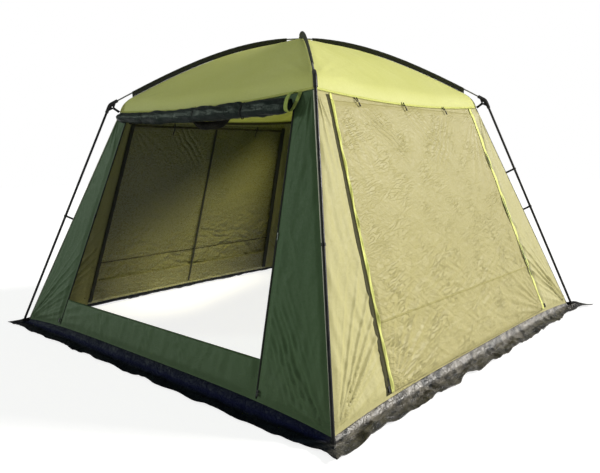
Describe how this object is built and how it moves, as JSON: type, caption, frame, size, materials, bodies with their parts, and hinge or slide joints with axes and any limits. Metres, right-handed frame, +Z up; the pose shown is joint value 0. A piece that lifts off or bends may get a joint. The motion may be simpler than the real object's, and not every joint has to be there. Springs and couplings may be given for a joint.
{
  "type": "camping gazebo",
  "caption": "Square camping gazebo: splayed legs, crossing roof poles, domed canopy, sloping zipped walls with nets, a rolled-up doorway and a ground skirt.",
  "frame": {"origin": "on the ground, under the apex where the two roof poles cross", "axes": "+Z up; -Y towards the open doorway wall (front); the walls run parallel to X and Y and the roof poles run along the diagonals"},
  "size_m": [3.5842, 3.5842, 2.3411],
  "materials": {
    "glass_fibre": "satin dark grey glass fibre",
    "elbow_plastic": "black moulded plastic",
    "steel_tube": "black powder-coated steel tube",
    "pin_steel": "plain steel",
    "webbing": "black woven webbing",
    "sleeve_cloth": "charcoal and dark olive cloth",
    "lime_cloth": "lime coated polyester",
    "green_cloth": "dark green coated polyester",
    "khaki_cloth": "khaki coated polyester",
    "net_mesh": "black mosquito netting",
    "roll_cloth": "navy-black coated polyester",
    "skirt_film": "black crinkled film cloth",
    "slider_metal": "black coated die-cast zip slider"
  },
  "bodies": {
    "shelter": {"arch_a_front_left": "glass_fibre", "arch_a_middle": "glass_fibre", "arch_a_back_right": "glass_fibre", "arch_b_front_right": "glass_fibre", "arch_b_middle": "glass_fibre", "arch_b_back_left": "glass_fibre", "elbow_front_left": "elbow_plastic", "elbow_front_right": "elbow_plastic", "elbow_back_right": "elbow_plastic", "elbow_back_left": "elbow_plastic", "leg_upper_front_left": "steel_tube", "leg_upper_front_right": "steel_tube", "leg_upper_back_right": "steel_tube", "leg_upper_back_left": "steel_tube", "leg_lower_front_left": "steel_tube", "leg_lower_front_right": "steel_tube", "leg_lower_back_right": "steel_tube", "leg_lower_back_left": "steel_tube", "foot_pin_front_left": "pin_steel", "foot_pin_front_right": "pin_steel", "foot_pin_back_right": "pin_steel", "foot_pin_back_left": "pin_steel", "corner_strap_front_left": "webbing", "corner_strap_front_right": "webbing", "corner_strap_back_right": "webbing", "corner_strap_back_left": "webbing", "leg_clip_front_left": "elbow_plastic", "leg_clip_front_right": "elbow_plastic", "leg_clip_back_right": "elbow_plastic", "leg_clip_back_left": "elbow_plastic", "leg_clip_upper_back_right": "elbow_plastic", "pole_sleeve_front_left": "sleeve_cloth", "pole_sleeve_front_right": "sleeve_cloth", "pole_sleeve_back_right": "sleeve_cloth", "pole_sleeve_back_left": "sleeve_cloth", "roof_canopy": "lime_cloth", "wall_front": "green_cloth", "wall_right": "khaki_cloth", "wall_back": "green_cloth", "wall_left": "khaki_cloth", "net_right": "net_mesh", "net_back": "net_mesh", "net_left": "net_mesh", "door_roll": "roll_cloth", "net_roll": "net_mesh", "skirt": "skirt_film"},
    "curtain_right": {"curtain_right": "khaki_cloth"},
    "curtain_back": {"curtain_back": "green_cloth"},
    "curtain_left": {"curtain_left": "khaki_cloth"},
    "zip_slider_front_left": {"zip_slider_front_left": "slider_metal"},
    "zip_slider_front_right": {"zip_slider_front_right": "slider_metal"},
    "zip_slider_right_left": {"zip_slider_right_left": "slider_metal"},
    "zip_slider_right_right": {"zip_slider_right_right": "slider_metal"},
    "zip_slider_back_left": {"zip_slider_back_left": "slider_metal"},
    "zip_slider_back_right": {"zip_slider_back_right": "slider_metal"},
    "zip_slider_left_left": {"zip_slider_left_left": "slider_metal"},
    "zip_slider_left_right": {"zip_slider_left_right": "slider_metal"},
    "net_slider_right": {"net_slider_right": "slider_metal"},
    "net_slider_back": {"net_slider_back": "slider_metal"},
    "net_slider_left": {"net_slider_left": "slider_metal"}
  },
  "joints": [
    {"name": "curtain_lift_right", "type": "hinge", "parent": "shelter", "child": "curtain_right", "pos_m": [1.07478, 0, 1.69042], "axis": [0, -1, 0], "range_deg": [0, 75]},
    {"name": "curtain_lift_back", "type": "hinge", "parent": "shelter", "child": "curtain_back", "pos_m": [0, 1.07478, 1.69042], "axis": [1, 0, 0], "range_deg": [0, 75]},
    {"name": "curtain_lift_left", "type": "hinge", "parent": "shelter", "child": "curtain_left", "pos_m": [-1.07478, 0, 1.69042], "axis": [0, 1, 0], "range_deg": [0, 75]},
    {"name": "zip_front_left", "type": "slide", "parent": "shelter", "child": "zip_slider_front_left", "axis": [0.1178, 0.3324, 0.9357], "range_m": [-0.62, 0.66]},
    {"name": "zip_front_right", "type": "slide", "parent": "shelter", "child": "zip_slider_front_right", "axis": [-0.1178, 0.3324, 0.9357], "range_m": [-0.62, 0.66]},
    {"name": "zip_right_left", "type": "slide", "parent": "shelter", "child": "zip_slider_right_left", "axis": [-0.3324, 0.1178, 0.9357], "range_m": [0, 1.55]},
    {"name": "zip_right_right", "type": "slide", "parent": "shelter", "child": "zip_slider_right_right", "axis": [-0.3324, -0.1178, 0.9357], "range_m": [0, 1.55]},
    {"name": "zip_back_left", "type": "slide", "parent": "shelter", "child": "zip_slider_back_left", "axis": [-0.1178, -0.3324, 0.9357], "range_m": [0, 1.55]},
    {"name": "zip_back_right", "type": "slide", "parent": "shelter", "child": "zip_slider_back_right", "axis": [0.1178, -0.3324, 0.9357], "range_m": [0, 1.55]},
    {"name": "zip_left_left", "type": "slide", "parent": "shelter", "child": "zip_slider_left_left", "axis": [0.3324, -0.1178, 0.9357], "range_m": [0, 1.55]},
    {"name": "zip_left_right", "type": "slide", "parent": "shelter", "child": "zip_slider_left_right", "axis": [0.3324, 0.1178, 0.9357], "range_m": [0, 1.55]},
    {"name": "net_zip_right", "type": "slide", "parent": "shelter", "child": "net_slider_right", "axis": [-0.3348, 0, 0.9423], "range_m": [0, 1.53]},
    {"name": "net_zip_back", "type": "slide", "parent": "shelter", "child": "net_slider_back", "axis": [0, -0.3348, 0.9423], "range_m": [0, 1.53]},
    {"name": "net_zip_left", "type": "slide", "parent": "shelter", "child": "net_slider_left", "axis": [0.3348, 0, 0.9423], "range_m": [0, 1.53]}
  ]
}
